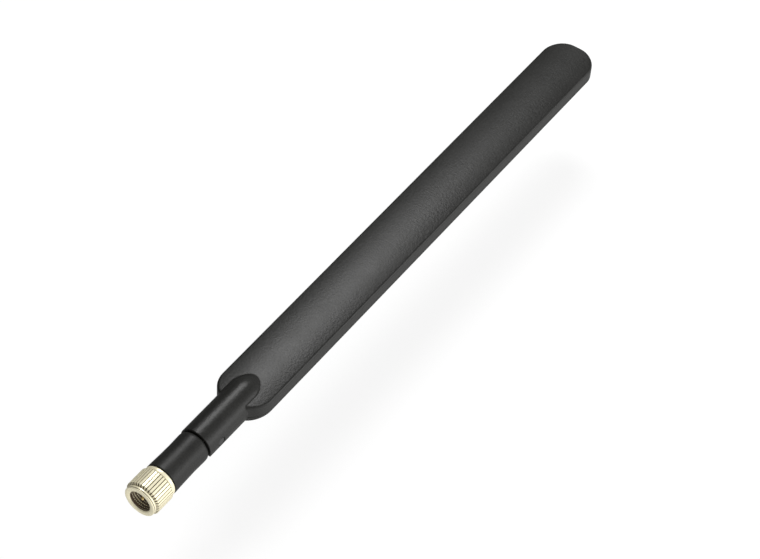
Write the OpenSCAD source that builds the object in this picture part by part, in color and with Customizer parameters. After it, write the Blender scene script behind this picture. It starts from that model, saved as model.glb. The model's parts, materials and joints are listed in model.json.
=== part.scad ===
// Hinged paddle antenna for 4G/LTE equipment, with an SMA plug.
// The antenna lies on its back: +Y runs from the plug to the tip, +Z is the front face, +X is its right side.
// The origin is on the plug's axis, in the plug's reference plane (the end of its outer conductor).

/* [Overall] */
// Length from the front of the coupling nut to the tip
overall_len = 195; // [150:1:230]
// Distance of the nut's front face ahead of the reference plane
nut_ahead = 3.3; // [3:0.1:3.5]

/* [Paddle] */
// Width of the paddle
paddle_w = 15; // [14:0.5:20]
// Half thickness of the paddle along its middle
mid_half = 2.9; // [2.85:0.05:3.4]
// Half height of the paddle's side wall
edge_half = 2.1; // [2:0.05:2.3]
// Corner radius at the tip
tip_corner_r = 6.3; // [5:0.1:7]
// Corner radius at the neck end
root_corner_r = 7; // [6:0.1:7.4]
// Distance of the root corners' centres from the reference plane
root_corner_y = 38.8; // [37:0.1:42]
// Wall thickness of the two shells
wall = 1; // [0.85:0.05:1]
// Height of the parting plane between the two shells
parting_z = -1; // [-1.2:0.1:-0.8]

/* [Neck] */
// Outer radius of the neck
neck_r = 4.6; // [4.55:0.05:4.8]
// Where the neck begins, at the seam
neck_y = 18.3; // [18.2:0.05:18.4]
// Where the neck's ogive end begins on the paddle
ogive_y = 36.6; // [34:0.1:38]
// Length of the ogive down to the middle of the paddle's face
ogive_len = 5.6; // [5:0.1:7]

/* [Hinge] */
// Distance of the hinge axis from the reference plane
pivot_y = 22.8; // [22.8:0.05:23.2]
// Radius of the knuckle
knuckle_r = 3.1; // [2.8:0.05:3.1]
// Width of the knuckle
knuckle_w = 5; // [4.6:0.1:5]
// Width of the fork's slot
slot_w = 5.2; // [5.1:0.05:5.4]
// Radius of the two hinge pins
pin_r = 1.1; // [1:0.05:1.4]
// Radial running clearance of the pins in the knuckle
pin_gap = 0.05; // [0.02:0.01:0.08]

/* [Base tube] */
// Front end of the base tube, behind the nut
base_y = 4.9; // [4.85:0.05:5]
// Rear end of the base tube, at the seam
base_top_y = 18.1; // [18:0.05:18.15]
// Outer radius of the base tube at the nut
base_r = 4.55; // [4.5:0.05:4.8]
// How much slimmer the base tube is at its waist
waist = 0.2; // [0:0.02:0.24]

/* [SMA plug] */
// Length of the coupling nut
nut_len = 8; // [7.5:0.1:8]
// Outer radius over the knurl's crests
knurl_r = 4.9; // [4.8:0.05:5.1]
// Depth of the knurl
knurl_depth = 0.35; // [0.2:0.05:0.4]
// Number of knurl teeth
knurl_teeth = 38; // [28:1:42]
// Radius of the smooth ring at the nut's front
front_ring_r = 4.5; // [4.3:0.02:4.5]
// Radius of the smooth ring at the nut's rear
rear_ring_r = 4.5; // [4.4:0.02:4.6]
// Width of the front ring
front_ring_w = 1.05; // [0.8:0.05:1.2]
// Width of the rear ring
rear_ring_w = 1.1; // [0.8:0.05:1.2]
// Minor radius of the 1/4-36 UNS thread
thread_r = 2.86; // [2.84:0.01:2.88]
// Radius of the nut's mouth
mouth_r = 3.25; // [3.2:0.01:3.3]
// Outer radius of the plug's outer conductor
shield_r = 2.28; // [2.26:0.01:2.3]
// Inner radius of the plug's outer conductor
shield_bore_r = 2.06; // [2.05:0.01:2.08]
// Radius of the centre contact's free pin
contact_r = 0.46; // [0.45:0.005:0.47]
// Length of the free pin ahead of the reference plane
contact_len = 2.3; // [2:0.1:2.4]

/* [Coaxial cable] */
// Radius of the cable's jacket
jacket_r = 0.9; // [0.85:0.01:0.92]
// Radius of the cable's braid
braid_r = 0.64; // [0.62:0.01:0.66]
// Radius of the cable's insulation
insulation_r = 0.43; // [0.42:0.01:0.44]
// Radius of the cable's inner conductor
conductor_r = 0.15; // [0.13:0.01:0.16]

/* [Circuit board] */
// Width of the board
board_w = 9.6; // [8:0.2:9.8]
// Thickness of the board
board_t = 0.4; // [0.3:0.05:0.4]
// Where the board begins
board_y = 52; // [48:1:56]
// Length of the board
board_len = 128; // [100:1:130]
// Distance of the feed point from the reference plane
feed_y = 104; // [98:1:112]
// Thickness of the copper layers
copper_t = 0.05; // [0.04:0.01:0.06]

/* [Hidden] */
$fn = 96;

// Assembly gaps
slip = 0.01;                    // between pieces that are pressed or soldered together
eps = 0.5;                      // how far a cutting shape passes the surface that it cuts
beyond = 20;                    // longer than any cross-section of the antenna

// Places along the axis
nut_front_y = -nut_ahead;
nut_back_y = nut_front_y + nut_len;
tip_y = nut_front_y + overall_len;

// The crowned faces are arcs through the middle and the two side walls
crown_rise = mid_half - edge_half;
crown_r = (pow(paddle_w / 2, 2) + pow(crown_rise, 2)) / (2 * crown_rise);

// The neck's ogive is an arc that starts along the neck and reaches the face's middle after ogive_len
ogive_drop = neck_r - mid_half;
ogive_r = (pow(ogive_len, 2) + pow(ogive_drop, 2)) / (2 * ogive_drop);
ogive_past = 2;                 // how far the ogive goes on inside the paddle
ogive_steps = 10;

// Fork
slot_top_z = 3.3;
slot_end_y = pivot_y + knuckle_r + 0.2;
ear_round_r = 4.6;              // the ears' lower rear corners, about the hinge axis
channel_r = 1.3;                // the cable's way through the neck
pin_in_x = 1.2;
pin_out_x = sqrt(pow(neck_r, 2) - pow(pin_r, 2)) - slip;

// Base tube
waist_y = 12.8;                 // where the tube is slimmest
waist_side = 0.6;               // share of the waist that is taken off before and behind it
waist_reach = 3.94;                // how far before it that share is reached
shoulder_in = 0.6;              // how far the rounded shoulder at the seam comes in
shoulder_len = 1.3;
shoulder_steps = 6;
foot_chamfer = 0.25;
rear_bore_r = 2.25;             // the room behind the plug's body
rear_bore_y = 16.2;
cheek_gap = 1.1;                // half width of the cable's way through the knuckle
cheek_back = 2.5;               // how far ahead of the hinge axis that way opens to the back
cheek_top_z = 1.3;

// Shell cavity
cavity_y = root_corner_y - 3;
post_x = 4.3;
post_y = 43;
tip_post_y = 185;
post_r = 0.8;
boss_r = 1.5;
post_top_z = 0.6;
boss_base_z = -0.4;
socket_gap = 0.03;
socket_top_z = 0.8;

// Plug
thread_y0 = nut_front_y + mouth_r - thread_r;
relief_y = 0.7;                 // behind it the nut's bore is plain
relief_r = 3.02;
flange_y = 1.95;
flange_r = 2.95;
ring_y = 3.25;                  // middle of the retaining ring
ring_w = 0.45;
ring_out_r = 3.2;
ring_in_r = 2.57;
body_back_y = 9.8;
body_grip_r = 3.4;
body_grip_y = 4.95;
body_bore_r = 0.9;
body_wall = 1;                  // the body's rear wall, round the cable
cable_play = 0.03;              // the insulation's room in that wall
ring_play = 0.03;               // the ring's room in the body's groove, on each side
nut_ring_play = 0.08;           // the same in the nut's groove
insulator_y = 5.5;
contact_back_r = 0.635;
contact_back_y = 6.5;
shank_r = 1.15;
shank_y = 13;
point_r = 0.2;                  // radius of the contact's flat point
gasket_y = 1.4;

// Cable
cable_y0 = 5.4;
flare_r = 1.4;                  // the braid where it is spread over the shank
ferrule_in_r = 1.42;
ferrule_out_r = 1.9;
sleeve_out_r = 2.15;
sleeve_in_r = 1.92;
sleeve_neck_r = 1.12;
sleeve_y1 = 15.8;
sleeve_wall = 0.25;
flex_y0 = pivot_y - 4;
flex_y1 = pivot_y + 4;
jacket_end_y = feed_y - 6;
braid_end_y = feed_y - 3;
insulation_end_y = feed_y - 1;
conductor_end_y = feed_y + 2;

// Board
board_z = 1;
copper_margin = 0.6;
feed_gap = 1.4;
fillet_z0 = 0.2;                // the braid's solder fillets start this high beside the cable
fillet_len = 2.4;
blob_r = 0.5;
arm_slot_w = 0.7;
arm_slot_from_feed = 9;         // from the arm's end at the feed to its slots
arm_slot_from_tip = 7;
feed_pad_w = 2.4;
feed_pad_len = 4.3;
foam_w = 5;
foam_len = 22;
foam_bottom_z = -1.75;
foam_starts = [116, 152];       // where the two pads begin

// Turns a shape that stands along Z so that it lies along Y.
module along_y() {
    rotate([-90, 0, 0]) children();
}

// Turns a shape that stands along Z so that it lies along X.
module along_x() {
    rotate([0, 90, 0]) children();
}

// A round bar along Y.
module bar_y(r, y0, y1) {
    translate([0, y0, 0]) along_y() cylinder(r = r, h = y1 - y0);
}

// A tube along Y.
module tube_y(r_out, r_in, y0, y1) {
    difference() {
        bar_y(r_out, y0, y1);
        bar_y(r_in, y0 - eps, y1 + eps);
    }
}

// A cone along Y.
module cone_y(r0, r1, y0, y1) {
    translate([0, y0, 0]) along_y() cylinder(r1 = r0, r2 = r1, h = y1 - y0);
}

// A box centred on x = 0.
module box_x0(w, y0, y1, z0, z1) {
    translate([-w / 2, y0, z0]) cube([w, y1 - y0, z1 - z0]);
}

// ---- Paddle and neck ----

// The paddle's outline seen from the front, drawn inset mm smaller all round.
module paddle_outline(inset) {
    half_w = paddle_w / 2 - inset;
    root_r = root_corner_r - inset;
    tip_r = tip_corner_r - inset;
    root_x = paddle_w / 2 - root_corner_r;
    tip_x = paddle_w / 2 - tip_corner_r;
    tip_corner_y = tip_y - tip_corner_r;
    union() {
        for (side = [-1, 1]) {
            translate([side * root_x, root_corner_y]) circle(r = root_r);
            translate([side * tip_x, tip_corner_y]) circle(r = tip_r);
        }
        translate([-half_w, root_corner_y]) square([2 * half_w, tip_corner_y - root_corner_y]);
        translate([-root_x, root_corner_y - root_r]) square([2 * root_x, root_r]);
        translate([-tip_x, tip_corner_y]) square([2 * tip_x, tip_r]);
    }
}

// The paddle's cross-section: two arcs, cut off by the side walls.
module paddle_section(inset) {
    intersection() {
        translate([0, mid_half - crown_r]) circle(r = crown_r - inset, $fn = 360);
        translate([0, crown_r - mid_half]) circle(r = crown_r - inset, $fn = 360);
        square([paddle_w + 2, 2 * mid_half + 2], center = true);
    }
}

// The paddle as a solid, inset mm smaller all round.
module paddle_solid(inset) {
    intersection() {
        translate([0, 0, -beyond / 2]) linear_extrude(height = beyond) paddle_outline(inset);
        translate([0, tip_y + eps, 0]) rotate([90, 0, 0])
            linear_extrude(height = tip_y + 2 * eps) paddle_section(inset);
    }
}

function ogive_radius(d) = neck_r - ogive_r + sqrt(pow(ogive_r, 2) - pow(d, 2));

// The neck: a cylinder whose far end sinks into the paddle as an ogive.
module neck_solid() {
    reach = ogive_len + ogive_past;
    translate([0, neck_y, 0]) along_y() rotate_extrude()
        polygon(concat(
            [[0, 0], [neck_r, 0]],
            [for (i = [0 : ogive_steps])
                [ogive_radius(reach * i / ogive_steps), ogive_y - neck_y + reach * i / ogive_steps]],
            [[0, ogive_y - neck_y + reach]]
        ));
}

// What the fork leaves open for the knuckle: a slot that is open at the back and at the seam.
module fork_slot() {
    box_x0(slot_w, neck_y - eps, slot_end_y, -beyond, slot_top_z);
}

// The ears' lower rear corners are round, so that the base tube's shoulder passes them.
module ear_corner_cut() {
    difference() {
        box_x0(beyond, neck_y - eps, pivot_y, -beyond, 0);
        translate([-beyond, pivot_y, 0]) along_x() cylinder(r = ear_round_r, h = 2 * beyond);
    }
}

module radome_solid() {
    difference() {
        union() {
            paddle_solid(0);
            neck_solid();
        }
        intersection() {
            paddle_solid(wall);
            translate([0, cavity_y, 0]) box_x0(beyond, 0, overall_len, -beyond, beyond);
        }
        bar_y(channel_r, slot_end_y - eps, cavity_y + eps);
        fork_slot();
        ear_corner_cut();
        translate([-beyond, pivot_y, 0]) along_x() cylinder(r = pin_r + slip, h = 2 * beyond);
    }
}

// The places of the posts that line the two shells up.
module at_posts() {
    for (side = [-1, 1]) {
        translate([side * post_x, post_y, 0]) children();
    }
    translate([0, tip_post_y, 0]) children();
}

module front_shell() color([0.1, 0.1, 0.1]) {
    difference() {
        union() {
            intersection() {
                radome_solid();
                translate([0, 0, parting_z]) box_x0(beyond, 0, tip_y + eps, 0, beyond);
            }
            intersection() {
                at_posts() translate([0, 0, boss_base_z]) cylinder(r = boss_r, h = beyond);
                paddle_solid(wall / 2);
            }
        }
        at_posts() translate([0, 0, boss_base_z - eps])
            cylinder(r = post_r + socket_gap, h = socket_top_z - boss_base_z + eps);
    }
}

module back_shell() color([0.11, 0.11, 0.11]) {
    intersection() {
        radome_solid();
        translate([0, 0, parting_z - slip]) box_x0(beyond, 0, tip_y + eps, -beyond, 0);
    }
    intersection() {
        at_posts() translate([0, 0, -beyond]) cylinder(r = post_r, h = beyond + post_top_z);
        paddle_solid(wall / 2);
    }
}

module hinge_pin(side) color([0.14, 0.14, 0.14]) {
    translate([side > 0 ? pin_in_x : -pin_out_x, pivot_y, 0])
        along_x() cylinder(r = pin_r, h = pin_out_x - pin_in_x);
}

module hinge_pin_left() hinge_pin(-1);

module hinge_pin_right() hinge_pin(1);

// ---- Base tube with its knuckle ----

module base_tube() color([0.07, 0.07, 0.07]) {
    len = base_top_y - base_y;
    top_r = base_r - waist * waist_side;
    difference() {
        union() {
            translate([0, base_y, 0]) along_y() rotate_extrude()
                polygon(concat(
                    [[0, 0], [base_r - foot_chamfer, 0], [base_r, foot_chamfer]],
                    [[top_r, waist_y - waist_reach - base_y], [base_r - waist, waist_y - base_y]],
                    [for (i = [0 : shoulder_steps])
                        let (bend = i / shoulder_steps)
                        [top_r - shoulder_in * (1 - sqrt(1 - bend * bend)), len - shoulder_len * (1 - bend)]],
                    [[0, len]]
                ));
            box_x0(knuckle_w, base_top_y - eps, pivot_y, -knuckle_r, knuckle_r);
            translate([-knuckle_w / 2, pivot_y, 0]) along_x() cylinder(r = knuckle_r, h = knuckle_w);
        }
        bar_y(body_grip_r + slip, base_y - eps, body_back_y + slip);
        bar_y(rear_bore_r, body_back_y - eps, rear_bore_y);
        bar_y(cheek_gap, rear_bore_y - eps, pivot_y);
        box_x0(2 * cheek_gap, pivot_y - cheek_back, pivot_y + knuckle_r + eps, -knuckle_r - eps, cheek_top_z);
        translate([-beyond, pivot_y, 0]) along_x() cylinder(r = pin_r + pin_gap, h = 2 * beyond);
    }
}

// ---- SMA plug ----

// The knurl's cross-section: one crest and one root for each tooth.
module knurl_outline() {
    pitch = 360 / knurl_teeth;
    root_r = knurl_r - knurl_depth;
    // Each corner's place as a share of the pitch, and its radius
    corners = [[0.05, knurl_r], [0.45, knurl_r], [0.6, root_r], [0.9, root_r]];
    polygon([
        for (i = [0 : knurl_teeth - 1])
            for (corner = corners)
                corner[1] * [cos(pitch * (i + corner[0])), sin(pitch * (i + corner[0]))]
    ]);
}

module coupling_nut() color([0.78, 0.72, 0.6]) {
    knurl_y0 = nut_front_y + front_ring_w;
    knurl_y1 = nut_back_y - rear_ring_w;
    difference() {
        union() {
            bar_y(front_ring_r, nut_front_y, nut_back_y - eps);
            bar_y(rear_ring_r, knurl_y1 - eps, nut_back_y);
            translate([0, knurl_y0, 0]) along_y()
                linear_extrude(height = knurl_y1 - knurl_y0) knurl_outline();
        }
        cone_y(mouth_r + eps, thread_r, nut_front_y - eps, thread_y0);
        bar_y(thread_r, thread_y0 - slip, relief_y + slip);
        bar_y(relief_r, relief_y, nut_back_y + eps);
        translate([0, ring_y, 0])
            bar_y(ring_out_r + nut_ring_play, -ring_w / 2 - nut_ring_play, ring_w / 2 + nut_ring_play);
    }
}

module connector_body() color([0.76, 0.7, 0.58]) {
    difference() {
        union() {
            bar_y(shield_r, 0, flange_y + slip);
            bar_y(flange_r, flange_y, body_grip_y);
            bar_y(body_grip_r, body_grip_y, body_back_y);
            bar_y(shank_r, body_back_y - slip, shank_y);
        }
        bar_y(shield_bore_r, -eps, insulator_y + slip);
        bar_y(body_bore_r, insulator_y, body_back_y - body_wall);
        bar_y(insulation_r + cable_play, body_back_y - 2 * body_wall, shank_y + eps);
        difference() {
            bar_y(flange_r + eps, ring_y - ring_w / 2 - ring_play, ring_y + ring_w / 2 + ring_play);
            bar_y(ring_in_r - ring_play, 0, body_back_y);
        }
    }
}

module plug_insulator() color([0.93, 0.92, 0.88]) {
    tube_y(shield_bore_r - slip, contact_back_r + slip, 0, insulator_y);
}

module centre_contact() color([0.85, 0.66, 0.3]) {
    point = 0.4;
    difference() {
        union() {
            cone_y(point_r, contact_r, -contact_len, point - contact_len);
            bar_y(contact_r, point - contact_len, slip);
            bar_y(contact_back_r, 0, contact_back_y);
        }
        bar_y(conductor_r + slip, cable_y0 - 0.1, contact_back_y + eps);
    }
}

module thread_gasket() color([0.45, 0.2, 0.12]) {
    tube_y(thread_r + 0.1, shield_r + 2 * slip, gasket_y, flange_y - slip);
}

// The open ring that keeps the nut on the plug's body.
module retaining_ring() color([0.7, 0.62, 0.42]) {
    opening = 1.2;
    difference() {
        tube_y(ring_out_r, ring_in_r, ring_y - ring_w / 2, ring_y + ring_w / 2);
        box_x0(opening, 0, body_back_y, 0, beyond);
    }
}

module crimp_ferrule() color([0.74, 0.68, 0.55]) {
    tube_y(ferrule_out_r, ferrule_in_r, body_back_y + 0.1, shank_y + 0.2);
}

module heat_shrink_sleeve() color([0.12, 0.12, 0.13]) {
    step_y = shank_y + 0.25;
    tube_y(sleeve_out_r, sleeve_in_r, body_back_y + 1, step_y + sleeve_wall);
    tube_y(sleeve_out_r, jacket_r + 2 * slip, step_y, step_y + sleeve_wall);
    tube_y(sleeve_neck_r, jacket_r + 2 * slip, step_y, sleeve_y1);
}

// ---- Coaxial cable: each layer is one real piece, cut where it crosses the hinge ----

module coax_conductor_lower() color([0.85, 0.83, 0.78]) {
    bar_y(conductor_r, cable_y0, flex_y0);
}

module coax_insulation_lower() color([0.95, 0.95, 0.93]) {
    tube_y(insulation_r, conductor_r + slip, contact_back_y + 0.1, flex_y0);
}

module coax_braid_lower() color([0.7, 0.68, 0.64]) {
    tube_y(flare_r, shank_r + slip, body_back_y + 0.2, shank_y + 0.1);
    tube_y(flare_r, insulation_r + slip, shank_y + slip, shank_y + 0.2);
    tube_y(braid_r, insulation_r + slip, shank_y + slip, flex_y0);
}

module coax_jacket_lower() color([0.36, 0.22, 0.15]) {
    tube_y(jacket_r, braid_r + slip, shank_y + 0.4, flex_y0);
}

module coax_hinge_loop() color([0.36, 0.22, 0.15]) {
    bar_y(jacket_r, flex_y0 + slip, flex_y1 - slip);
}

module coax_conductor_upper() color([0.85, 0.83, 0.78]) {
    bar_y(conductor_r, flex_y1, conductor_end_y);
}

module coax_insulation_upper() color([0.95, 0.95, 0.93]) {
    tube_y(insulation_r, conductor_r + slip, flex_y1, insulation_end_y);
}

module coax_braid_upper() color([0.7, 0.68, 0.64]) {
    tube_y(braid_r, insulation_r + slip, flex_y1, braid_end_y);
}

module coax_jacket_upper() color([0.36, 0.22, 0.15]) {
    tube_y(jacket_r, braid_r + slip, flex_y1, jacket_end_y);
}

// ---- Antenna board ----

module circuit_board() color([0.1, 0.3, 0.16]) {
    translate([0, 0, board_z]) box_x0(board_w, board_y, board_y + board_len, 0, board_t);
}

// The front layer: the upper arm of the dipole, with two slots that make its branches.
module front_copper() color([0.72, 0.45, 0.2]) {
    arm_w = board_w - 2 * copper_margin;
    arm_y0 = feed_y + feed_gap / 2;
    arm_y1 = board_y + board_len - copper_margin;
    translate([0, 0, board_z + board_t]) difference() {
        box_x0(arm_w, arm_y0, arm_y1, 0, copper_t);
        for (side = [-1, 1]) {
            translate([side * arm_w / 4, 0, 0])
                box_x0(arm_slot_w, arm_y0 + arm_slot_from_feed, arm_y1 - arm_slot_from_tip, -eps, eps);
        }
    }
}

// The back layer: the lower arm, which the cable's braid is soldered to, and the feed pad.
module back_copper() color([0.72, 0.45, 0.2]) {
    arm_w = board_w - 2 * copper_margin;
    pad_y0 = feed_y + feed_gap / 2;
    translate([0, 0, board_z - copper_t]) {
        box_x0(arm_w, board_y + copper_margin, feed_y - feed_gap / 2, 0, copper_t);
        box_x0(feed_pad_w, pad_y0, pad_y0 + feed_pad_len, 0, copper_t);
    }
}

module solder_joints() color([0.75, 0.75, 0.76]) {
    top_z = board_z - copper_t;
    fillet_w = 0.7;
    for (side = [-1, 1]) {
        translate([side * (braid_r + slip + fillet_w / 2), braid_end_y - fillet_len - 0.2, fillet_z0])
            box_x0(fillet_w, 0, fillet_len, 0, top_z - fillet_z0);
    }
    translate([0, conductor_end_y - 0.7, conductor_r + slip])
        cylinder(r = blob_r, h = top_z - conductor_r - slip);
}

module foam_pads() color([0.2, 0.2, 0.22]) {
    for (y0 = foam_starts) {
        box_x0(foam_w, y0, y0 + foam_len, foam_bottom_z, board_z - copper_t - slip);
    }
}

coupling_nut();
connector_body();
plug_insulator();
centre_contact();
thread_gasket();
retaining_ring();
base_tube();
crimp_ferrule();
heat_shrink_sleeve();
coax_conductor_lower();
coax_insulation_lower();
coax_braid_lower();
coax_jacket_lower();
coax_hinge_loop();
coax_conductor_upper();
coax_insulation_upper();
coax_braid_upper();
coax_jacket_upper();
hinge_pin_left();
hinge_pin_right();
front_shell();
back_shell();
circuit_board();
front_copper();
back_copper();
solder_joints();
foam_pads();
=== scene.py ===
"""Looks of a hinged 4G/LTE paddle antenna with an SMA plug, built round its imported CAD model.

+Y runs from the plug to the tip, +Z is the front face and +X is the antenna's right side. Lengths named
with _mm or used by the field functions are in millimetres; Blender objects are in metres.
"""
import math

import bmesh
import bpy
import numpy as np
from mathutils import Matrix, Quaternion, Vector, noise
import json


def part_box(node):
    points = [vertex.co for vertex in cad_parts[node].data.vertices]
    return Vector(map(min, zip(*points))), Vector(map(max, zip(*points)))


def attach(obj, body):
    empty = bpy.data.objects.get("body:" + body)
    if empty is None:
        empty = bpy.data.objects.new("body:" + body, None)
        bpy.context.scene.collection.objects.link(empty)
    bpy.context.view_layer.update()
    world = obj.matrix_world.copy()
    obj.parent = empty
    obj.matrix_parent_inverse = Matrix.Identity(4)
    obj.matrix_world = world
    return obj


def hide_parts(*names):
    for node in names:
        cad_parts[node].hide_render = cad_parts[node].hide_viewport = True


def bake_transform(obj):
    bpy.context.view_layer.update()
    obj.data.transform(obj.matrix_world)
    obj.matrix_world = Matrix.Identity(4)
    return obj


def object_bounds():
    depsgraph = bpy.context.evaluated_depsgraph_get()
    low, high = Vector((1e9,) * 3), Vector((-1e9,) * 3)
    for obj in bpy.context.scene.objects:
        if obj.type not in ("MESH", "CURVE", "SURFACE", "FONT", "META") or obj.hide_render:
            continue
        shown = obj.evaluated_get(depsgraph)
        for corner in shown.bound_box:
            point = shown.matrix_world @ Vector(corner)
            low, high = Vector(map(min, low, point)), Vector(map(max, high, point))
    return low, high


MM = 0.001

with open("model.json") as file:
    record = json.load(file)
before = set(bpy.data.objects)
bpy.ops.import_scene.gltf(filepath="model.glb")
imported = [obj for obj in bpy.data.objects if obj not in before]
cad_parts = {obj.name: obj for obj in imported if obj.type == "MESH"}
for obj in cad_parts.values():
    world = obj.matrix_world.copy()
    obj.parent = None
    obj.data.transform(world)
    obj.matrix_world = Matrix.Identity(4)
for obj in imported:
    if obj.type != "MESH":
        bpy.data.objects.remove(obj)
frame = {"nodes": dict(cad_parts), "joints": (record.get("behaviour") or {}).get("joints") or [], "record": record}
cad_low, cad_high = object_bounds()
joints = {joint["name"]: joint for joint in frame["joints"]}


def box_mm(node):
    """A CAD node's lowest and highest corners in millimetres."""
    low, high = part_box(node)
    return low / MM, high / MM


# ---- Driving dimensions, from the frame where it has them ----

SHELL_LOW, SHELL_HIGH = box_mm("front_shell")
BASE_LOW, BASE_HIGH = box_mm("base_tube")
NUT_LOW, NUT_HIGH = box_mm("coupling_nut")
PIN_LOW, PIN_HIGH = box_mm("hinge_pin_right")
LOOP_LOW, LOOP_HIGH = box_mm("coax_hinge_loop")

PIVOT_Y = joints["fold"]["pos_m"][1] / MM
HALF_W = SHELL_HIGH.x                     # half width of the paddle
TIP_Y = SHELL_HIGH.y
NECK_Y = SHELL_LOW.y
NECK_R = SHELL_HIGH.z
PARTING_Z = SHELL_LOW.z
MID_HALF = 2.9                            # half thickness of the paddle along its middle
EDGE_HALF = 2.1                           # half height of its side wall
ROOT_R = 7.0                              # corner radius at the neck end
ROOT_Y = 38.8                             # where the root corners' centres are
TIP_R = 6.3                               # corner radius at the tip
WALL = 1.0
FACE_ROUND = 0.6                          # rounding of the edge between face and side wall
JOIN_ROUND = 0.12                         # fillet where the neck meets the paddle
PART_ROUND = 0.16                         # rounding of each shell's rim at the parting line
OGIVE_Y = 36.6
OGIVE_LEN = 5.6
SLOT_W = 5.2
SLOT_TOP_Z = 3.3
KNUCKLE_R = 3.1
KNUCKLE_W = 5.0
EAR_R = 4.6                               # rounding of the ears' lower rear corners, about the hinge axis
PIN_R = (PIN_HIGH.z - PIN_LOW.z) / 2
CHANNEL_R = 1.3
SEAM_Y = 18.1                             # rear end of the base tube's round part
FOOT_R = 4.55                             # the base tube's radius at the nut
SHOULDER_IN = 0.6                         # how far its rounded shoulder at the seam comes in
SHOULDER_LEN = 1.3

CROWN_RISE = MID_HALF - EDGE_HALF
CROWN_R = (HALF_W ** 2 + CROWN_RISE ** 2) / (2 * CROWN_RISE)
OGIVE_DROP = NECK_R - MID_HALF
OGIVE_R = (OGIVE_LEN ** 2 + OGIVE_DROP ** 2) / (2 * OGIVE_DROP)
SLOT_END_Y = PIVOT_Y + KNUCKLE_R + 0.2

# Inside the shells: the cavity, and the posts and sockets that line the two up
CAVITY_Y = ROOT_Y - 3
NECK_END_Y = ROOT_Y + 6                   # the neck's solid ends there, hidden in the paddle
POST_X, POST_Y = 4.3, 43
TIP_POST_Y = 185
POST_R = 0.8
POST_TOP_Z = 0.6
BOSS_R = 1.5
BOSS_BASE_Z = -0.4
SOCKET_R = 0.83
SOCKET_TOP_Z = 0.8
SHELL_GAP = 0.02                          # between the two shells at the parting line
SHELL_PIN_ROOM = 0.06                     # round the pins, in the ears
KNUCKLE_PIN_ROOM = 0.05                   # round the pins, in the knuckle

# Inside the base tube
WAIST = 0.2                               # how much slimmer it is at its slimmest
WAIST_SIDE = 0.12                         # and before and behind that place
GRIP_R, GRIP_END_Y = 3.41, 9.81           # the bore that grips the plug's body
REAR_BORE_R, REAR_BORE_Y = 2.25, 16.2
CHEEK_GAP = 1.1                           # half width of the cable's way through the knuckle
CHEEK_TOP_Z = 1.3
CHEEK_BACK = 2.5                          # how far ahead of the hinge axis that way opens to the back


# ---- Surfaces from distance fields ----

def round_max(a, b, r):
    """Intersection of two solids, with its outer edge rounded to radius r."""
    u = np.maximum(a + r, 0)
    v = np.maximum(b + r, 0)
    return np.minimum(np.maximum(a, b), -r) + np.hypot(u, v)


def round_min(a, b, r):
    """Union of two solids, with a fillet of radius r between them."""
    return -round_max(-a, -b, r)


def stretches(*marks):
    """Grid lines through marks (place, step, place, step, ..., place)."""
    lines = []
    for start, step, end in zip(marks[0:-2:2], marks[1:-1:2], marks[2::2]):
        count = max(1, round((end - start) / step))
        lines.extend(np.linspace(start, end, count, endpoint=False))
    return np.array(lines + [marks[-1]])


def mirrored(*marks):
    """Grid lines on both sides of 0, from the marks of the positive side."""
    lines = stretches(*marks)
    return np.concatenate([-lines[:0:-1], lines])


def edge_crossings(value, lines, axis):
    """Where the field changes sign along the grid's edges on one axis: mask and crossing points."""
    ahead = np.moveaxis(value, axis, 0)
    v0, v1 = ahead[:-1], ahead[1:]
    mask = (v0 < 0) != (v1 < 0)
    gap = np.where(mask, v0 - v1, 1.0)
    share = np.moveaxis(np.where(mask, v0 / gap, 0.0), 0, axis)
    mask = np.moveaxis(mask, 0, axis)
    points = []
    for k in range(3):
        shape = [1, 1, 1]
        shape[k] = -1
        if k == axis:
            step = np.diff(lines[k]).reshape(shape)
            points.append(lines[k][:-1].reshape(shape) + share * step)
        else:
            points.append(np.broadcast_to(lines[k].reshape(shape), share.shape))
    return mask, points


def surface_net(field, lines):
    """Vertices and quads of the closed surface where field is 0, on a grid with those lines."""
    grid = np.meshgrid(*lines, indexing="ij")
    value = field(*grid)
    cells = tuple(n - 1 for n in value.shape)
    total = [np.zeros(cells) for _ in range(3)]
    count = np.zeros(cells)
    crossings = []
    for axis in range(3):
        mask, points = edge_crossings(value, lines, axis)
        crossings.append(mask)
        others = [k for k in range(3) if k != axis]
        for shift in ((0, 0), (0, 1), (1, 0), (1, 1)):
            take = [slice(None)] * 3
            for k, s in zip(others, shift):
                take[k] = slice(s, value.shape[k] - 1 + s)
            take = tuple(take)
            count += mask[take]
            for k in range(3):
                total[k] += np.where(mask[take], points[k][take], 0)
    used = count > 0
    number = np.full(cells, -1)
    number[used] = np.arange(used.sum())
    verts = np.stack([t[used] / count[used] for t in total], axis=1)
    quads = []
    for axis in range(3):
        a, b = [(1, 2), (2, 0), (0, 1)][axis]
        low = np.moveaxis(value, axis, 0)[:-1] < 0
        low = np.moveaxis(low, 0, axis)
        spots = np.argwhere(crossings[axis])
        inner = np.all([(spots[:, k] > 0) & (spots[:, k] < value.shape[k] - 1) for k in (a, b)], axis=0)
        spots = spots[inner]
        corners = []
        for da, db in ((1, 1), (0, 1), (0, 0), (1, 0)):
            cell = spots.copy()
            cell[:, a] -= da
            cell[:, b] -= db
            corners.append(number[tuple(cell.T)])
        quad = np.stack(corners, axis=1)
        outward = low[tuple(spots.T)]
        quads.append(np.where(outward[:, None], quad, quad[:, ::-1]))
    return settle(field, verts, 0.08), np.concatenate(quads)


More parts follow.
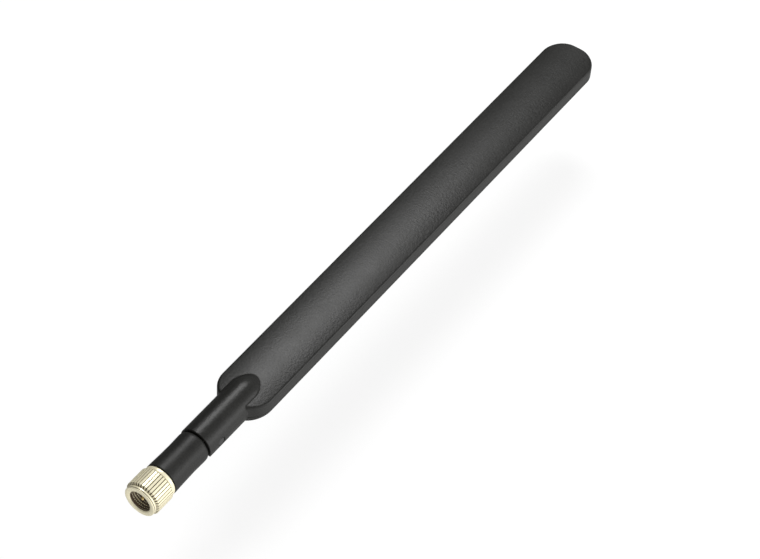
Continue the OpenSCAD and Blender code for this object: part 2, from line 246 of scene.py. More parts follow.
def settle(field, verts, reach):
    """Moves each vertex onto the field's surface, by at most reach in each of a few steps."""
    h = 0.004
    for _ in range(3):
        x, y, z = verts.T
        here = field(x, y, z)
        slope = np.stack([
            field(x + h, y, z) - field(x - h, y, z),
            field(x, y + h, z) - field(x, y - h, z),
            field(x, y, z + h) - field(x, y, z - h),
        ], axis=1) / (2 * h)
        steep = np.maximum((slope ** 2).sum(axis=1), 0.25)
        move = -slope * (here / steep)[:, None]
        length = np.maximum(np.linalg.norm(move, axis=1), 1e-9)
        verts = verts + move * np.minimum(1, reach / length)[:, None]
    return verts


def mesh_object(name, verts_mm, faces, sharp_angle=40):
    """A Blender object from vertices in millimetres, smooth except at edges sharper than the angle."""
    mesh = bpy.data.meshes.new(name)
    faces = faces if isinstance(faces, list) else faces.tolist()
    mesh.from_pydata((np.asarray(verts_mm) * MM).tolist(), [], faces)
    mesh.validate()
    mesh.update()
    mesh.shade_smooth()
    mesh.set_sharp_from_angle(angle=math.radians(sharp_angle))
    obj = bpy.data.objects.new(name, mesh)
    bpy.context.scene.collection.objects.link(obj)
    return obj


# ---- The two shells ----

def paddle_outline(x, y, inset):
    """Distance outside the paddle's outline, drawn inset smaller."""
    x = np.abs(x)
    straight = x - HALF_W
    root = np.hypot(np.maximum(x - (HALF_W - ROOT_R), 0), ROOT_Y - y) - ROOT_R
    tip = np.hypot(np.maximum(x - (HALF_W - TIP_R), 0), y - (TIP_Y - TIP_R)) - TIP_R
    middle = np.where(y > TIP_Y - TIP_R, tip, straight)
    return np.where(y < ROOT_Y, root, middle) + inset


def paddle_field(x, y, z, inset, rounding):
    """The crowned paddle: two arc-shaped faces inside the outline."""
    face = np.hypot(x, np.abs(z) + CROWN_R - MID_HALF) - CROWN_R + inset
    return round_max(paddle_outline(x, y, inset), face, rounding)


def neck_radius(y):
    """The neck is a cylinder that ends in an ogive."""
    past = np.clip(y - OGIVE_Y, 0, OGIVE_LEN + 2)
    return NECK_R - OGIVE_R + np.sqrt(OGIVE_R ** 2 - past ** 2)


def neck_field(x, y, z):
    """The neck as a solid, with its end at the seam slightly rounded."""
    side = np.hypot(x, z) - neck_radius(y)
    end = np.maximum(NECK_Y - y, y - NECK_END_Y)
    return round_max(side, end, 0.18)


def posts_field(x, y, radius):
    """The posts that line the two shells up: two beside the cable and one at the tip."""
    near = np.hypot(np.abs(x) - POST_X, y - POST_Y)
    far = np.hypot(x, y - TIP_POST_Y)
    return np.minimum(near, far) - radius


def radome_field(x, y, z):
    """Both shells as one solid, and what is cut out of it: fork, ears, pin hole, cavity, channel."""
    outer = round_min(paddle_field(x, y, z, 0, FACE_ROUND), neck_field(x, y, z), JOIN_ROUND)
    slot_side = np.maximum(np.abs(x) - SLOT_W / 2, z - SLOT_TOP_Z)
    slot = np.maximum(slot_side, y - SLOT_END_Y)
    about_pivot = np.hypot(y - PIVOT_Y, z)
    ear_corner = np.maximum(np.maximum(EAR_R - about_pivot, z), y - PIVOT_Y)
    pin_hole = about_pivot - (PIN_R + SHELL_PIN_ROOM)
    cavity = np.maximum(paddle_field(x, y, z, WALL, 0.3), CAVITY_Y - y)
    channel = np.maximum(np.hypot(x, z) - CHANNEL_R, y - ROOT_Y)
    open_part = np.minimum(np.minimum(slot, ear_corner), np.minimum(cavity, channel))
    return outer, np.minimum(open_part, pin_hole)


def front_shell_field(x, y, z):
    """The shell in front of the parting line, with the bosses that take the posts."""
    outer, opened = radome_field(x, y, z)
    shell = round_max(outer, PARTING_Z - z, PART_ROUND)
    shell = round_max(shell, -opened, 0.08)
    inside = paddle_field(x, y, z, WALL / 2, 0)
    boss = np.maximum(posts_field(x, y, BOSS_R), np.maximum(BOSS_BASE_Z - z, inside))
    socket = np.maximum(posts_field(x, y, SOCKET_R), z - SOCKET_TOP_Z)
    return np.maximum(np.minimum(shell, boss), -socket)


def back_shell_field(x, y, z):
    """The shell behind the parting line, with the posts."""
    outer, opened = radome_field(x, y, z)
    shell = round_max(outer, z - PARTING_Z + SHELL_GAP, PART_ROUND)
    shell = round_max(shell, -opened, 0.08)
    inside = paddle_field(x, y, z, WALL / 2, 0)
    post = np.maximum(posts_field(x, y, POST_R), np.maximum(z - POST_TOP_Z, inside))
    return np.minimum(shell, post)


def shell_lines(z_low, z_high):
    """Grid lines for a shell: close together at the edges, at the neck and at the tip."""
    across = mirrored(0, 0.22, 6.7, 0.12, HALF_W + 0.3)
    along = stretches(NECK_Y - 0.3, 0.1, NECK_Y + 0.4, 0.2, 46, 1.2, 182, 0.25, TIP_Y - 1, 0.12, TIP_Y + 0.3)
    fine = 0.35
    if z_high > PARTING_Z + 1:
        up = stretches(PARTING_Z - 0.2, 0.06, PARTING_Z + fine, 0.16, z_high)
    else:
        up = stretches(z_low, 0.16, PARTING_Z - fine, 0.06, PARTING_Z + 0.1, 0.2, 0.8)
    return [across, along, up]


def make_front_shell():
    verts, quads = surface_net(front_shell_field, shell_lines(PARTING_Z, NECK_R + 0.3))
    return mesh_object("front_shell_look", verts, quads)


def make_back_shell():
    verts, quads = surface_net(back_shell_field, shell_lines(-NECK_R - 0.3, PARTING_Z))
    return mesh_object("back_shell_look", verts, quads)


# ---- Base tube ----

def base_radius(y):
    """Outer radius of the base tube: full at the nut, slimmest past its middle, round at the shoulder."""
    along = (y - BASE_LOW.y) / (SEAM_Y - BASE_LOW.y)
    taken_off = [0, WAIST_SIDE, WAIST, WAIST_SIDE]
    tube = np.interp(along, [0, 0.3, 0.6, 0.9], [FOOT_R - slimmer for slimmer in taken_off])
    bend = np.clip((y - SEAM_Y + SHOULDER_LEN) / SHOULDER_LEN, 0, 1)
    return tube - SHOULDER_IN * (1 - np.sqrt(1 - bend ** 2))


def base_field(x, y, z):
    """The base tube with its knuckle, and the bores through it."""
    outside = np.hypot(x, z) - base_radius(y)
    tube = round_max(round_max(outside, y - SEAM_Y, 0.1), BASE_LOW.y - y, 0.2)
    stem = np.maximum(np.maximum(np.abs(z) - KNUCKLE_R, y - PIVOT_Y), SEAM_Y - 1 - y)
    barrel = np.hypot(y - PIVOT_Y, z) - KNUCKLE_R
    knuckle = round_max(np.minimum(stem, barrel), np.abs(x) - KNUCKLE_W / 2, 0.15)
    solid = round_min(tube, knuckle, 0.15)
    around = np.hypot(x, z)
    grip = np.maximum(around - GRIP_R, y - GRIP_END_Y)
    rear = np.maximum(around - REAR_BORE_R, y - REAR_BORE_Y)
    channel = np.maximum(around - CHEEK_GAP, y - PIVOT_Y)
    way_out = np.maximum(np.maximum(np.abs(x) - CHEEK_GAP, z - CHEEK_TOP_Z), PIVOT_Y - CHEEK_BACK - y)
    pin_bore = np.hypot(y - PIVOT_Y, z) - (PIN_R + KNUCKLE_PIN_ROOM)
    opened = np.minimum(np.minimum(np.minimum(grip, rear), np.minimum(channel, way_out)), pin_bore)
    return round_max(solid, -opened, 0.06)


def make_base_tube():
    across = mirrored(0, 0.13, NECK_R + 0.3)
    along = stretches(BASE_LOW.y - 0.2, 0.08, BASE_LOW.y + 0.7, 0.25, SEAM_Y - 0.9, 0.08, SEAM_Y + 0.4,
                      0.14, BASE_HIGH.y + 0.3)
    verts, quads = surface_net(base_field, [across, along, across])
    return mesh_object("base_tube_look", verts, quads)


# ---- Turned pieces ----

def lathe(name, profile, steps=96, sharp_angle=32):
    """A turned piece about the Y axis, from a closed profile of (radius, y) points."""
    rings = len(profile)
    verts = []
    for i in range(steps):
        angle = 2 * math.pi * i / steps
        for radius, y in profile:
            verts.append((radius * math.cos(angle), y, radius * math.sin(angle)))
    faces = []
    for i in range(steps):
        for k in range(rings):
            a, b = i * rings + k, i * rings + (k + 1) % rings
            c, d = ((i + 1) % steps) * rings + (k + 1) % rings, ((i + 1) % steps) * rings + k
            faces.append((a, b, c, d))
    obj = mesh_object(name, verts, faces, sharp_angle)
    weld(obj)
    return obj


def weld(obj):
    """Joins vertices that lie together, such as those of a ring of no radius, and turns faces outward."""
    work = bmesh.new()
    work.from_mesh(obj.data)
    bmesh.ops.remove_doubles(work, verts=work.verts, dist=1e-7)
    bmesh.ops.recalc_face_normals(work, faces=work.faces)
    work.to_mesh(obj.data)
    work.free()


def arc_points(centre, radius, start_deg, end_deg, count=6):
    """Points of an arc, for a profile."""
    angles = np.radians(np.linspace(start_deg, end_deg, count))
    return [(centre[0] + radius * math.cos(a), centre[1] + radius * math.sin(a)) for a in angles]


KNURL_TEETH = 38
KNURL_DEPTH = 0.35
FRONT_RING_R = 4.4
REAR_RING_R = 4.5
FRONT_RING_W = 1.05
REAR_RING_W = 1.1
LINE_AT = 0.36                            # the line turned into the front ring, behind the nut's front
GROOVE_HALF = 0.06                        # half width of a groove's floor, in tooth pitches
FLANK = 0.08                              # width of a tooth's flank, in tooth pitches
TOOTH_LINES = (0, GROOVE_HALF, GROOVE_HALF + FLANK, 0.35, 0.5, 0.65, 1 - GROOVE_HALF - FLANK, 1 - GROOVE_HALF)
NUT_STEPS = KNURL_TEETH * len(TOOTH_LINES)
THREAD_PITCH = 25.4 / 36
THREAD_DEPTH = 0.3
THREAD_R = 2.86
MOUTH_R = 3.25
EDGE_ROUND = 0.18                         # rounding of the nut's two outer edges
RELIEF_R = 3.02                           # bore behind the thread
RELIEF_Y = 0.85
RING_GROOVE_R = 3.26                      # the groove for the retaining ring, and its two sides
RING_GROOVE_Y = (2.95, 3.56)
PAINTED_SHADE_R = 3.02                             # inside this the colour of the nut is darkened as painted shade


def nut_outside(y, angle):
    """Outer radius of the coupling nut: a straight knurl between two smooth rings."""
    front = NUT_LOW.y + FRONT_RING_W
    back = NUT_HIGH.y - REAR_RING_W
    phase = (angle * KNURL_TEETH / (2 * math.pi)) % 1
    ridge = np.clip((0.5 - np.abs(phase - 0.5) - GROOVE_HALF) / FLANK, 0, 1)
    crest = NUT_HIGH.x - KNURL_DEPTH + KNURL_DEPTH * ridge
    ring = np.where(y < (front + back) / 2, FRONT_RING_R, REAR_RING_R)
    run_out = ring - 0.2 + 1.9 * np.minimum(y - front, back - y)
    knurl = np.maximum(np.minimum(crest, run_out), ring - 0.2)
    groove = 0.14 * np.exp(-(np.minimum(np.abs(y - front), np.abs(y - back)) / 0.1) ** 2)
    groove = groove + 0.12 * np.exp(-((y - NUT_LOW.y - LINE_AT) / 0.07) ** 2)
    on_knurl = (y > front) & (y < back)
    return np.where(on_knurl, knurl, ring - groove)


def nut_thread(y, angle):
    """Radius of the right-hand thread inside the nut."""
    phase = ((y + 100) / THREAD_PITCH - angle / (2 * math.pi)) % 1
    return THREAD_R + THREAD_DEPTH * np.clip(np.abs(phase - 0.5) * 2.6 - 0.3, 0, 1)


def make_nut():
    """The coupling nut as a grid of rings: outside, rear face, relief bore, thread, mouth."""
    y0, y1 = NUT_LOW.y, NUT_HIGH.y
    angle = np.add.outer(np.arange(KNURL_TEETH), TOOTH_LINES).ravel() * 2 * math.pi / KNURL_TEETH
    rings = []

    def plain(radius, y):
        rings.append((np.full(NUT_STEPS, radius), y))

    plain(MOUTH_R + 0.05, y0)
    plain(FRONT_RING_R - 0.2, y0)
    for radius, y in arc_points((FRONT_RING_R - EDGE_ROUND, y0 + EDGE_ROUND), EDGE_ROUND, -80, 0, 6):
        plain(radius, y)
    for y in np.concatenate([np.linspace(y0 + 0.2, y0 + 0.52, 9), np.linspace(y0 + 0.65, y0 + 0.95, 3),
                             np.linspace(y0 + 1.0, y0 + 1.7, 15),
                             np.linspace(y0 + 1.9, y1 - 1.9, 8), np.linspace(y1 - 1.75, y1 - 1.05, 15),
                             np.linspace(y1 - 1.0, y1 - 0.3, 4)]):
        rings.append((nut_outside(y, angle), y))
    for radius, y in arc_points((REAR_RING_R - EDGE_ROUND, y1 - EDGE_ROUND), EDGE_ROUND, 0, 90, 6):
        plain(radius, y)
    plain(RELIEF_R + 0.1, y1)
    plain(RELIEF_R, y1 - 0.1)
    plain(RELIEF_R, RING_GROOVE_Y[1])
    plain(RING_GROOVE_R, RING_GROOVE_Y[1])
    plain(RING_GROOVE_R, RING_GROOVE_Y[0])
    plain(RELIEF_R, RING_GROOVE_Y[0])
    plain(RELIEF_R, RELIEF_Y)
    plain(RELIEF_R + 0.15, RELIEF_Y - 0.05)
    thread_y0 = y0 + MOUTH_R - THREAD_R
    for y in np.arange(0.7, thread_y0, -THREAD_PITCH / 14):
        edge = np.clip((y - thread_y0) / 0.3, 0, 1)
        cone = MOUTH_R - (y - y0)
        rings.append((np.maximum(nut_thread(y, angle) * edge + THREAD_R * (1 - edge), cone), y))
    plain(THREAD_R + 0.02, thread_y0)
    plain(MOUTH_R - 0.04, y0 + 0.05)
    verts = np.concatenate([
        np.stack([radius * np.cos(angle), np.full(NUT_STEPS, y), radius * np.sin(angle)], axis=1)
        for radius, y in rings
    ])
    faces = []
    for k in range(len(rings)):
        nxt = (k + 1) % len(rings)
        here, there = k * NUT_STEPS, nxt * NUT_STEPS
        i = np.arange(NUT_STEPS)
        j = (i + 1) % NUT_STEPS
        faces.append(np.stack([here + i, there + i, there + j, here + j], 1))
    obj = mesh_object("coupling_nut_look", verts, np.concatenate(faces), 30)
    weld(obj)
    return obj


def make_pin(name, side):
    """A hinge pin with rounded rims, lying along X."""
    r = PIN_R
    length = PIN_HIGH.x - PIN_LOW.x
    rim = 0.18
    profile = [(0, 0), (r - rim, 0)] + arc_points((r - rim, rim), rim, -90, 0) + \
        arc_points((r - rim, length - rim), rim, 0, 90) + [(0, length)]
    obj = lathe(name, profile, 64)
    start = PIN_LOW.x
    for v in obj.data.vertices:
        x, y, z = v.co
        v.co = (side * (start * MM + y), PIVOT_Y * MM + x, z)
    weld(obj)
    return obj


def make_cable_loop():
    """The cable where it crosses the hinge: a tube with closed ends between the two bodies."""
    r = LOOP_HIGH.x
    rows = np.linspace(LOOP_LOW.y, LOOP_HIGH.y, 41)
    profile = [(0, rows[0])] + [(r, y) for y in rows] + [(0, rows[-1])]
    return lathe("coax_hinge_loop_look", profile, 32)


FOAM_LEN = 22
FOAM_ROUND = 0.35


def make_contact():
    """The centre contact: a pin with a rounded point, and its socket for the cable behind."""
    low, high = box_mm("centre_contact")
    r = 0.46
    point = arc_points((r - 0.3, low.y + 0.3), 0.3, -90, 0)
    profile = [(0, low.y)] + point + [
        (r, -0.02), (0.635, 0.0), (0.635, high.y - 0.1), (0.55, high.y), (0.16, high.y), (0.16, 5.3), (0, 5.3),
    ]
    return lathe("centre_contact_look", profile, 48)


def make_connector_body():
    """The plug's body: outer conductor, flange with the ring's groove, gripped barrel and crimp shank."""
    profile = [
        (2.06, 0.08), (2.1, 0.0), (2.22, 0.0), (2.28, 0.08),
        (2.28, 1.94), (2.34, 1.95), (2.9, 1.95), (2.95, 2.0),
        (2.95, 2.995), (2.55, 2.995), (2.55, 3.505), (2.95, 3.505),
        (2.95, 4.94), (3.34, 4.95), (3.4, 5.01), (3.4, 9.74), (3.34, 9.8),
        (1.15, 9.8), (1.15, 12.95), (1.1, 13.0), (0.46, 13.0),
        (0.46, 8.8), (0.9, 8.8), (0.9, 5.51), (2.06, 5.51),
    ]
    return lathe("connector_body_look", profile, 128)


def make_foam_pads():
    """Two blocks of soft foam between board and back shell, with blunt edges and an uneven knife cut."""
    low, high = box_mm("foam_pads")
    half = Vector(((high.x - low.x) / 2, FOAM_LEN / 2, (high.z - low.z) / 2))
    block = bmesh.new()
    bmesh.ops.create_cube(block, size=2)
    bmesh.ops.subdivide_edges(block, edges=block.edges[:], cuts=25, use_grid_fill=True)
    block.verts.index_update()
    verts, faces = [], []
    for start in (low.y, high.y - FOAM_LEN):
        middle = Vector((0, start + FOAM_LEN / 2, (low.z + high.z) / 2))
        faces += [[v.index + len(verts) for v in face.verts] for face in block.faces]
        for v in block.verts:
            spot = Vector([side * p * (1.5 - 0.5 * p * p) for p, side in zip(v.co, half)])
            core = Vector([max(FOAM_ROUND - side, min(side - FOAM_ROUND, p)) for p, side in zip(spot, half)])
            skin = (spot - core).normalized()
            waist = 1 - (spot.z / half.z) ** 2
            cells = noise.noise((spot + middle) * 3) + 0.6 * noise.noise((spot + middle) * 9)
            out = FOAM_ROUND + 0.05 * (cells - 0.8) - 0.12 * waist * (1 - abs(skin.z))
            verts.append(middle + core + skin * out)
    block.free()
    return mesh_object("foam_pads_look", verts, faces, 60)


# ---- Materials ----

def map_range(tree, factor, low, high, out_low, out_high):
    """A node's output moved from the range low-high to out_low-out_high."""
    node = tree.nodes.new("ShaderNodeMapRange")
    tree.links.new(factor, node.inputs["Value"])
    for key, value in (("From Min", low), ("From Max", high), ("To Min", out_low), ("To Max", out_high)):
        node.inputs[key].default_value = value
    return node.outputs["Result"]


class Nodes:
    """A short way to build a node material."""

    def __init__(self, name):
        self.material = bpy.data.materials.new(name)
        self.material.use_nodes = True
        self.tree = self.material.node_tree
        self.shader = self.tree.nodes["Principled BSDF"]
        self.place = self.tree.nodes.new("ShaderNodeTexCoord").outputs["Object"]

    def set(self, **values):
        """Sets plain values on the shader's own sockets."""
        for key, value in values.items():
            self.shader.inputs[key.replace("_", " ")].default_value = value

    def stretched(self, scale):
        """Object coordinates, scaled differently along each axis."""
        node = self.tree.nodes.new("ShaderNodeMapping")
        node.inputs["Scale"].default_value = scale
        self.tree.links.new(self.place, node.inputs["Vector"])
        return node.outputs["Vector"]

    def noise(self, size, detail=2.0, roughness=0.5, vector=None):
        """Noise whose features are about size metres across."""
        node = self.tree.nodes.new("ShaderNodeTexNoise")
        node.inputs["Scale"].default_value = 1 / size
        node.inputs["Detail"].default_value = detail
        node.inputs["Roughness"].default_value = roughness
        self.tree.links.new(vector or self.place, node.inputs["Vector"])
        return node.outputs["Fac"]

    def cells(self, size, vector=None):
        """Distance to the nearest of scattered points about size metres apart."""
        node = self.tree.nodes.new("ShaderNodeTexVoronoi")
        node.inputs["Scale"].default_value = 1 / size
        self.tree.links.new(vector or self.place, node.inputs["Vector"])
        return node.outputs["Distance"]

    def ramp(self, factor, low, high, out_low=0.0, out_high=1.0):
        """factor moved from the range low-high to out_low-out_high."""
        return map_range(self.tree, factor, low, high, out_low, out_high)

    def math(self, kind, a, b):
        node = self.tree.nodes.new("ShaderNodeMath")
        node.operation = kind
        for socket, value in zip(node.inputs, (a, b)):
            if isinstance(value, float):
                socket.default_value = value
            else:
                self.tree.links.new(value, socket)
        return node.outputs["Value"]

    def colour(self, factor, low, high):
        """Sets the base colour to one between low and high, each a colour or another mix."""
        node = self.tree.nodes.new("ShaderNodeMix")
        node.data_type = "RGBA"
        for key, value in (("A", low), ("B", high)):
            if isinstance(value, tuple):
                node.inputs[key].default_value = (*value, 1)
            else:
                self.tree.links.new(value, node.inputs[key])
        self.tree.links.new(factor, node.inputs["Factor"])
        self.tree.links.new(node.outputs["Result"], self.shader.inputs["Base Color"])
        return node.outputs["Result"]

    def painted_groove_shade(self, teeth, y0, y1, line_y):
        """1 where painted shade goes: in the grooves of a straight knurl between y0 and y1, at its two ends and in
        a turned line.
        """
        split = self.tree.nodes.new("ShaderNodeSeparateXYZ")
        self.tree.links.new(self.place, split.inputs["Vector"])
        turn = self.math("ARCTAN2", split.outputs["Z"], split.outputs["X"])
        phase = self.math("FRACT", self.math("MULTIPLY", turn, teeth / (2 * math.pi)), 0.0)
        off_crest = self.math("ABSOLUTE", self.math("SUBTRACT", phase, 0.5), 0.0)
        along = self.math("ABSOLUTE", self.math("SUBTRACT", split.outputs["Y"], (y0 + y1) / 2), 0.0)
        half = (y1 - y0) / 2
        on_knurl = self.ramp(along, half - 0.00005, half + 0.00005, 1.0, 0.0)
        to_end = self.math("ABSOLUTE", self.math("SUBTRACT", along, half), 0.0)
        flare = self.ramp(to_end, 0.0, 0.0005, 0.24, 0.0)
        grooves = self.ramp(self.math("ADD", off_crest, flare), 0.5 - GROOVE_HALF - FLANK, 0.5 - GROOVE_HALF)
        to_line = self.math("ABSOLUTE", self.math("SUBTRACT", split.outputs["Y"], line_y), 0.0)
        rings = self.math("MAXIMUM", self.ramp(to_end, 0.00003, 0.0001, 0.5, 0.0),
                          self.ramp(to_line, 0.00005, 0.00013, 0.9, 0.0))
        return self.math("MAXIMUM", self.math("MULTIPLY", grooves, on_knurl), rings)

    def from_axis(self):
        """Distance from the antenna's long axis."""
        split = self.tree.nodes.new("ShaderNodeSeparateXYZ")
        self.tree.links.new(self.place, split.inputs["Vector"])
        x, z = split.outputs["X"], split.outputs["Z"]
        squared = self.math("ADD", self.math("MULTIPLY", x, x), self.math("MULTIPLY", z, z))
        return self.math("SQRT", squared, 0.0)

    def roughness(self, factor):
        self.tree.links.new(factor, self.shader.inputs["Roughness"])

    def bump(self, height, depth, below=None):
        """A bump of that depth in metres, on top of another bump if one is given."""
        node = self.tree.nodes.new("ShaderNodeBump")
        node.inputs["Distance"].default_value = depth
        self.tree.links.new(height, node.inputs["Height"])
        if below is not None:
            self.tree.links.new(below, node.inputs["Normal"])
        self.tree.links.new(node.outputs["Normal"], self.shader.inputs["Normal"])
        return node.outputs["Normal"]


def grained_plastic(name, dark, light, grain_size, depth, rough):
    """Black moulded plastic with a fine spark-eroded grain and a few rubbed spots."""
    n = Nodes(name)
    grain = n.noise(grain_size, 3.0, 0.6)
    pits = n.cells(grain_size * 1.6)
    patches = n.noise(0.006, 3.0, 0.6)
    shade = n.math("ADD", n.math("MULTIPLY", grain, 0.9), n.math("MULTIPLY", patches, 0.3))
    n.colour(n.ramp(shade, 0.4, 0.85), dark, light)
    n.roughness(n.ramp(patches, 0.3, 0.7, rough - 0.02, rough + 0.02))
    coarse = n.bump(pits, depth * 0.6)
    n.bump(grain, depth, coarse)
    n.set(IOR=1.5, Specular_IOR_Level=0.28)
    return n.material


def plated_metal(name, base, tint, rough, turned=True, bore=None, knurl=None, metallic=1.0):
    """Plated brass with fine turning marks and slight staining, with painted shade inside bore and in a knurl."""
    n = Nodes(name)
    stain = n.noise(0.0012, 3.0, 0.6)
    marks = n.noise(0.00012, 2.0, 0.5, n.stretched((0.05, 1.0, 0.05)) if turned else None)
    plating_and_shade = n.colour(n.ramp(stain, 0.3, 0.75), base, tint)
    # Painted shade in the knurl's grooves, at its ends and in the turned line.
    if knurl:
        plating_and_shade = n.colour(n.painted_groove_shade(*knurl), plating_and_shade, PAINTED_GROOVE_SHADE)
    # Painted shade: inside the bore radius the colour turns to a dark brass that stands for the shade in the nut's
    # bore.
    if bore:
        n.colour(n.ramp(n.from_axis(), bore - 0.00008, bore + 0.00004), PAINTED_BORE_SHADE, plating_and_shade)
    n.roughness(n.ramp(stain, 0.3, 0.7, rough - 0.04, rough + 0.06))
    n.bump(marks, 0.0000008)
    n.set(Metallic=metallic)
    return n.material


def plain_plastic(name, dark, light, rough, mottle=0.001, depth=0.000003):
    """Smooth plastic or rubber with a slight mottle."""
    n = Nodes(name)
    mottled = n.noise(mottle, 3.0, 0.6)
    n.colour(n.ramp(mottled, 0.3, 0.7), dark, light)
    n.roughness(n.ramp(mottled, 0.3, 0.7, rough - 0.04, rough + 0.06))
    n.bump(n.noise(mottle * 0.25, 2.0, 0.5), depth)
    return n.material


# Painted shade: a dark brass for the inside of the nut's bore.
PAINTED_BORE_SHADE = (0.09, 0.055, 0.03)
# Painted shade: a dark brass for the knurl's grooves, its ends and the turned line.
PAINTED_GROOVE_SHADE = (0.12, 0.095, 0.06)
SHELL = grained_plastic("shell_plastic", (0.006, 0.006, 0.005), (0.02, 0.02, 0.018), 0.0004, 0.00003, 0.35)
BASE = grained_plastic("base_plastic", (0.006, 0.006, 0.006), (0.02, 0.02, 0.017), 0.0004, 0.000025, 0.42)
PIN = plain_plastic("pin_plastic", (0.014, 0.014, 0.014), (0.024, 0.024, 0.024), 0.42)
# The nut gets painted shade inside its bore and in its knurl's grooves, ends and turned line.
NUT = plated_metal("plated_nut", (0.98, 0.92, 0.68), (0.94, 0.86, 0.6), 0.3, bore=PAINTED_SHADE_R * MM, metallic=0.25,
                   knurl=(KNURL_TEETH, (NUT_LOW.y + FRONT_RING_W) * MM, (NUT_HIGH.y - REAR_RING_W) * MM,
                          (NUT_LOW.y + LINE_AT) * MM))
# The body's brass colour is darkened as painted shade for the inside of the nut's mouth.
BODY_WITH_PAINTED_SHADE = plated_metal("plated_body", (0.42, 0.33, 0.2), (0.3, 0.22, 0.12), 0.3)
GOLD = plated_metal("gold_contact", (0.92, 0.72, 0.36), (0.85, 0.62, 0.28), 0.16)
BRONZE = plated_metal("spring_bronze", (0.62, 0.46, 0.25), (0.5, 0.35, 0.18), 0.3)
WIRE = plated_metal("silvered_wire", (0.8, 0.78, 0.74), (0.62, 0.6, 0.56), 0.3, turned=False)
COPPER = plated_metal("copper", (0.78, 0.42, 0.22), (0.62, 0.3, 0.15), 0.3, turned=False)
SOLDER = plated_metal("solder", (0.72, 0.72, 0.73), (0.55, 0.55, 0.56), 0.32, turned=False)
PTFE = plain_plastic("ptfe", (0.84, 0.83, 0.79), (0.9, 0.89, 0.86), 0.4)
RUBBER = plain_plastic("gasket_rubber", (0.17, 0.07, 0.04), (0.22, 0.1, 0.06), 0.55)
SHRINK = plain_plastic("heat_shrink", (0.015, 0.015, 0.017), (0.03, 0.03, 0.033), 0.45)
JACKET = plain_plastic("cable_jacket", (0.16, 0.075, 0.04), (0.2, 0.1, 0.055), 0.3)
BOARD = plain_plastic("board_laminate", (0.012, 0.09, 0.035), (0.02, 0.14, 0.055), 0.3)
FOAM = plain_plastic("foam", (0.03, 0.03, 0.033), (0.07, 0.07, 0.075), 0.9, 0.0004, 0.00008)
SLOT_MATERIALS = {
    "shell_plastic": SHELL, "base_plastic": BASE, "pin_plastic": PIN, "plated_nut": NUT, "plated_body": BODY_WITH_PAINTED_SHADE,
    "gold_contact": GOLD, "spring_bronze": BRONZE, "silvered_wire": WIRE, "copper": COPPER, "solder": SOLDER,
    "ptfe": PTFE, "gasket_rubber": RUBBER, "heat_shrink": SHRINK, "cable_jacket": JACKET,
    "board_laminate": BOARD, "foam": FOAM,
}


# ---- Camera, floor and lights ----

VIEW_AZIMUTH = 31.52         # degrees, round from the plug's end towards the antenna's right
VIEW_ELEVATION = 48.23
VIEW_ROLL = 4.66
VIEW_DISTANCE = 0.6399
VIEW_LENS = 118.6            # mm on a 36 mm sensor
VIEW_AIM = (0.0047, -0.0053, 0.0)      # from the middle of the antenna to what the camera points at


def place_camera():
    """The camera of the product view: a long lens from above the plug's end."""
    a, e = math.radians(VIEW_AZIMUTH), math.radians(VIEW_ELEVATION)
    back = Vector((math.sin(a) * math.cos(e), -math.cos(a) * math.cos(e), math.sin(e)))
    middle = (cad_low + cad_high) / 2
    data = bpy.data.cameras.new("camera")
    data.sensor_width = 36
    data.lens = VIEW_LENS
    data.clip_start = 0.01
    data.clip_end = 20
    camera = bpy.data.objects.new("camera", data)
    bpy.context.scene.collection.objects.link(camera)
    camera.location = middle + Vector(VIEW_AIM) + back * VIEW_DISTANCE
    camera.rotation_mode = "QUATERNION"
    turn = (-back).to_track_quat("-Z", "Y")
    camera.rotation_quaternion = turn @ Quaternion((0, 0, 1), math.radians(VIEW_ROLL))
    bpy.context.scene.camera = camera


def area_light(name, place, aim, size, power):
    """A soft rectangular light at place, turned towards aim."""
    data = bpy.data.lights.new(name, "AREA")
    data.shape = "RECTANGLE"
    data.size, data.size_y = size
    data.energy = power
    light = bpy.data.objects.new(name, data)
    bpy.context.scene.collection.objects.link(light)
    light.location = place
    light.rotation_mode = "QUATERNION"
    light.rotation_quaternion = (Vector(aim) - Vector(place)).to_track_quat("-Z", "Y")


# How bright the studio is by direction. Each row: two values of the direction's part along that axis,
# and the level at each of them.
STUDIO_X = (-0.8, 0.8, 0.15, 0.85)
STUDIO_Y = (-0.7, 0.1, 0.5, 1.0)
STUDIO_Z = (-0.4, 0.0, 0.85, 1.0)
WINDOW_X = (0.4, 0.8, 0.0, 1.6)        # a broad bright side on the antenna's right
TABLE_Y = (-0.5, -0.1, 1.8, 0.0)       # the bright table before the plug
TABLE_Z = (-0.6, 0.0, 1.0, 0.0)
BACKDROP = 0.9


def place_floor():
    """A white floor below the room that the folded plug needs."""
    n = Nodes("floor_white")
    n.set(Base_Color=(0.25, 0.25, 0.25, 1), Roughness=0.8)
    n.set(Emission_Color=(1, 1, 1, 1), Emission_Strength=0.79)
    folded_drop = (PIVOT_Y - NUT_LOW.y) * MM + 0.0015
    verts = [(x, y, -folded_drop) for x, y in ((-6, -6), (6, -6), (6, 6), (-6, 6))]
    mesh = bpy.data.meshes.new("floor")
    mesh.from_pydata(verts, [], [(0, 1, 2, 3)])
    floor = bpy.data.objects.new("floor", mesh)
    bpy.context.scene.collection.objects.link(floor)
    mesh.materials.append(n.material)
    floor.visible_glossy = False


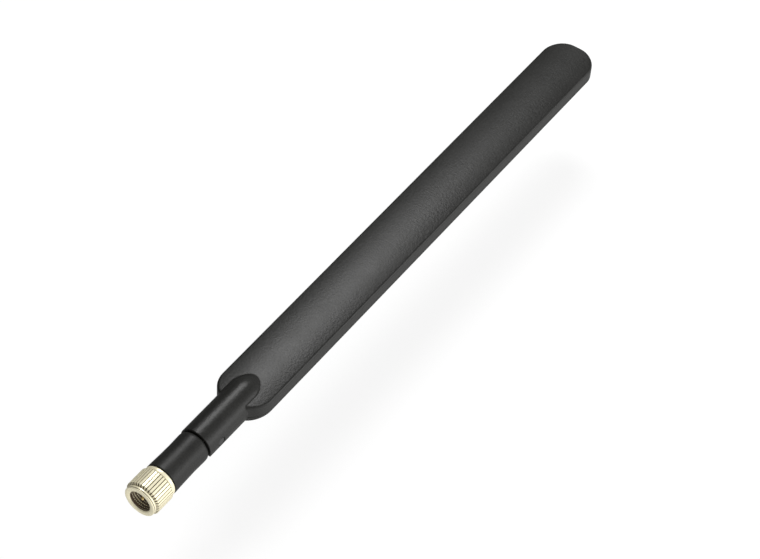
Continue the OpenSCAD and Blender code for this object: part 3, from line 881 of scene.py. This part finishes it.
def place_world():
    """A white studio that lights the antenna more from its right and less from behind the camera."""
    world = bpy.data.worlds.new("world")
    world.use_nodes = True
    tree = world.node_tree
    split = tree.nodes.new("ShaderNodeSeparateXYZ")
    tree.links.new(tree.nodes.new("ShaderNodeTexCoord").outputs["Generated"], split.inputs["Vector"])

    def part(axis, low, high, from_level, to_level):
        return map_range(tree, split.outputs[axis], low, high, from_level, to_level)

    def join(kind, a, b):
        node = tree.nodes.new("ShaderNodeMath")
        node.operation = kind
        tree.links.new(a, node.inputs[0])
        tree.links.new(b, node.inputs[1])
        return node.outputs["Value"]

    above = join("MULTIPLY", part("Z", *STUDIO_Z), part("Y", *STUDIO_Y))
    table = join("MULTIPLY", part("Z", *TABLE_Z), part("Y", *TABLE_Y))
    level = join("MULTIPLY", part("X", *STUDIO_X), join("MAXIMUM", above, table))
    level = join("MAXIMUM", level, part("X", *WINDOW_X))
    backdrop = tree.nodes.new("ShaderNodeMix")
    tree.links.new(tree.nodes.new("ShaderNodeLightPath").outputs["Is Camera Ray"], backdrop.inputs["Factor"])
    tree.links.new(level, backdrop.inputs["A"])
    backdrop.inputs["B"].default_value = BACKDROP
    tree.links.new(backdrop.outputs["Result"], tree.nodes["Background"].inputs["Strength"])
    tree.nodes["Background"].inputs["Color"].default_value = (1, 1, 1, 1)
    bpy.context.scene.world = world


PADDLE_SHINE_Y = 40          # mm, where the softbox is mirrored brightest in the face
FACE_LIGHT = (-0.31, 0.49, 0.79)      # direction from there to the softbox
FLANK_LIGHT = (0.82, 0.48, 0.16)


def place_lights():
    """A softbox mirrored in the front face near the neck, and a weak one in the neck's right flank."""
    shine = Vector((0, PADDLE_SHINE_Y, 0)) * MM
    away = 0.7
    area_light("face_softbox", shine + Vector(FACE_LIGHT) * away, shine, (0.28, 0.2), 2.05)
    area_light("right_softbox", shine + Vector(FLANK_LIGHT) * away, shine, (0.4, 0.3), 0.8)
    bpy.context.scene.view_settings.view_transform = "Standard"


# ---- Putting it together ----

def finish_piece(obj, body, slot, *nodes):
    """Gives a piece the material of its slot and its body, and lets it stand for its CAD nodes."""
    obj.data.materials.clear()
    obj.data.materials.append(SLOT_MATERIALS[slot])
    if body:
        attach(obj, body)
    if nodes:
        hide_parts(*nodes)
    return obj


def dress_cad_nodes():
    """Gives every CAD node its slot's material."""
    for sub in frame["record"]["subparts"]:
        obj = frame["nodes"][sub["node"]]
        obj.data.materials.clear()
        obj.data.materials.append(SLOT_MATERIALS[sub["material_slot"]])


def build():
    dress_cad_nodes()
    finish_piece(make_front_shell(), "paddle", "shell_plastic", "front_shell")
    finish_piece(make_back_shell(), "paddle", "shell_plastic", "back_shell")
    finish_piece(make_base_tube(), "swivel_base", "base_plastic", "base_tube")
    finish_piece(make_nut(), "coupling_nut", "plated_nut", "coupling_nut")
    finish_piece(make_pin("hinge_pin_right_look", 1), "paddle", "pin_plastic", "hinge_pin_right")
    finish_piece(make_pin("hinge_pin_left_look", -1), "paddle", "pin_plastic", "hinge_pin_left")
    finish_piece(make_contact(), "swivel_base", "gold_contact", "centre_contact")
    finish_piece(make_connector_body(), "swivel_base", "plated_body", "connector_body")
    finish_piece(make_foam_pads(), "paddle", "foam", "foam_pads")
    loop = finish_piece(make_cable_loop(), None, "cable_jacket", "coax_hinge_loop")
    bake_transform(loop)


place_camera()
place_floor()
place_world()
place_lights()
build()
